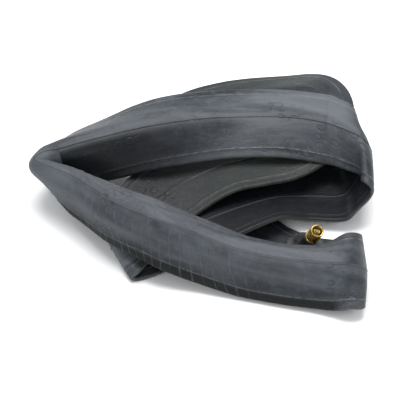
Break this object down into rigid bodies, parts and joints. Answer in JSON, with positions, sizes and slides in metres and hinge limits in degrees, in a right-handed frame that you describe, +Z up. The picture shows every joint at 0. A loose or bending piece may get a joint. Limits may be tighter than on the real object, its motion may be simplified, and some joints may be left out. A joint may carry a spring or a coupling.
{
  "type": "inner tube",
  "caption": "Deflated butyl bicycle inner tube folded into a loose bundle, with a short rubber-covered brass valve and its screw-in spring core.",
  "frame": {"origin": "middle of the bundle's footprint, on the surface it lies on", "axes": "+Z up, away from that surface; +X along the two front bands towards their right-hand ends, where the valve stands; +Y from the front of the bundle to its back"},
  "size_m": [0.1948, 0.1996, 0.0391],
  "materials": {
    "butyl_rubber": "matt black-grey butyl with mould lines and a dusting of talc",
    "moulded_rubber": "smooth black moulded rubber",
    "brass": "dull turned brass",
    "core_brass": "bright turned brass",
    "nickel_plate": "nickel plated",
    "seal_rubber": "small black seals",
    "spring_steel": "bright spring wire"
  },
  "bodies": {
    "tube": {"inner_tube": "butyl_rubber", "valve_pad": "moulded_rubber"},
    "valve": {"stem_sheath": "moulded_rubber", "valve_stem": "brass"},
    "core_body": {"core_barrel": "nickel_plate", "core_gasket": "seal_rubber", "core_spring": "spring_steel"},
    "core_top": {"core_plug": "core_brass"},
    "pin": {"core_pin": "nickel_plate", "core_cup": "core_brass", "core_seal": "seal_rubber"}
  },
  "joints": [
    {"name": "valve_rock", "type": "hinge", "parent": "tube", "child": "valve", "pos_m": [0.05945, -0.0448, 0.00873], "axis": [0, 0.894, 0.448], "range_deg": [-10, 10], "stiffness_Nm_per_rad": 0.02},
    {"name": "core_lift", "type": "slide", "parent": "valve", "child": "core_body", "axis": [0.2932, -0.4283, 0.8547], "range_m": [0, 0.00282]},
    {"name": "core_turn", "type": "hinge", "parent": "core_body", "child": "core_top", "pos_m": [0.05945, -0.0448, 0.00873], "axis": [0.2932, -0.4283, 0.8547], "range_deg": [0, 1440]},
    {"name": "pin_press", "type": "slide", "parent": "core_body", "child": "pin", "axis": [-0.2932, 0.4283, -0.8547], "range_m": [0, 0.0016], "stiffness_N_per_m": 400, "deforming": ["core_spring"]}
  ],
  "couplings": [
    {"joint": "core_turn", "follows": "core_lift", "rad_per_m": 8912.3}
  ]
}
